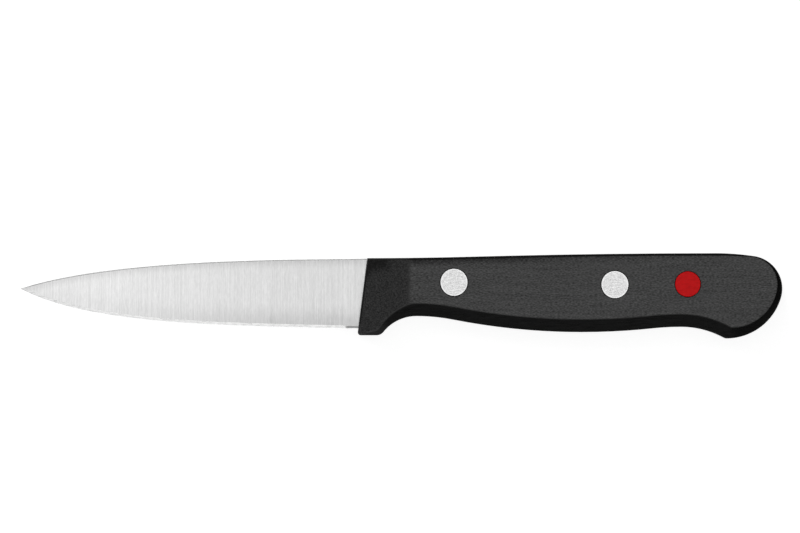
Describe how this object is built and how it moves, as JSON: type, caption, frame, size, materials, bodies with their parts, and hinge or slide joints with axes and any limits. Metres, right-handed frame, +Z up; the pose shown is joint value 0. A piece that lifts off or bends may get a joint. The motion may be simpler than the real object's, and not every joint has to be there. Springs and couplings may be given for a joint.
{
  "type": "paring knife",
  "caption": "Small kitchen knife with a pointed, satin-ground blade and a black riveted handle with a hooked butt, for peeling and trimming.",
  "frame": {"origin": "middle of the knife's length and height, on the flat side of the handle that it lies on", "axes": "+X along the knife from the tip to the butt, +Y from the cutting edge to the spine, +Z up, out of the handle's left side"},
  "size_m": [0.1806, 0.0202, 0.013],
  "materials": {
    "blade_steel": "satin, ground across the blade",
    "handle_plastic": "satin with a fine grain",
    "rivet_metal": "brushed flush with the handle",
    "dot_plastic": "smooth"
  },
  "bodies": {
    "root": {"blade": "blade_steel", "left_scale": "handle_plastic", "right_scale": "handle_plastic", "front_rivet_post": "rivet_metal", "front_rivet_socket": "rivet_metal", "rear_rivet_post": "rivet_metal", "rear_rivet_socket": "rivet_metal", "marker_dot": "dot_plastic"}
  },
  "joints": []
}
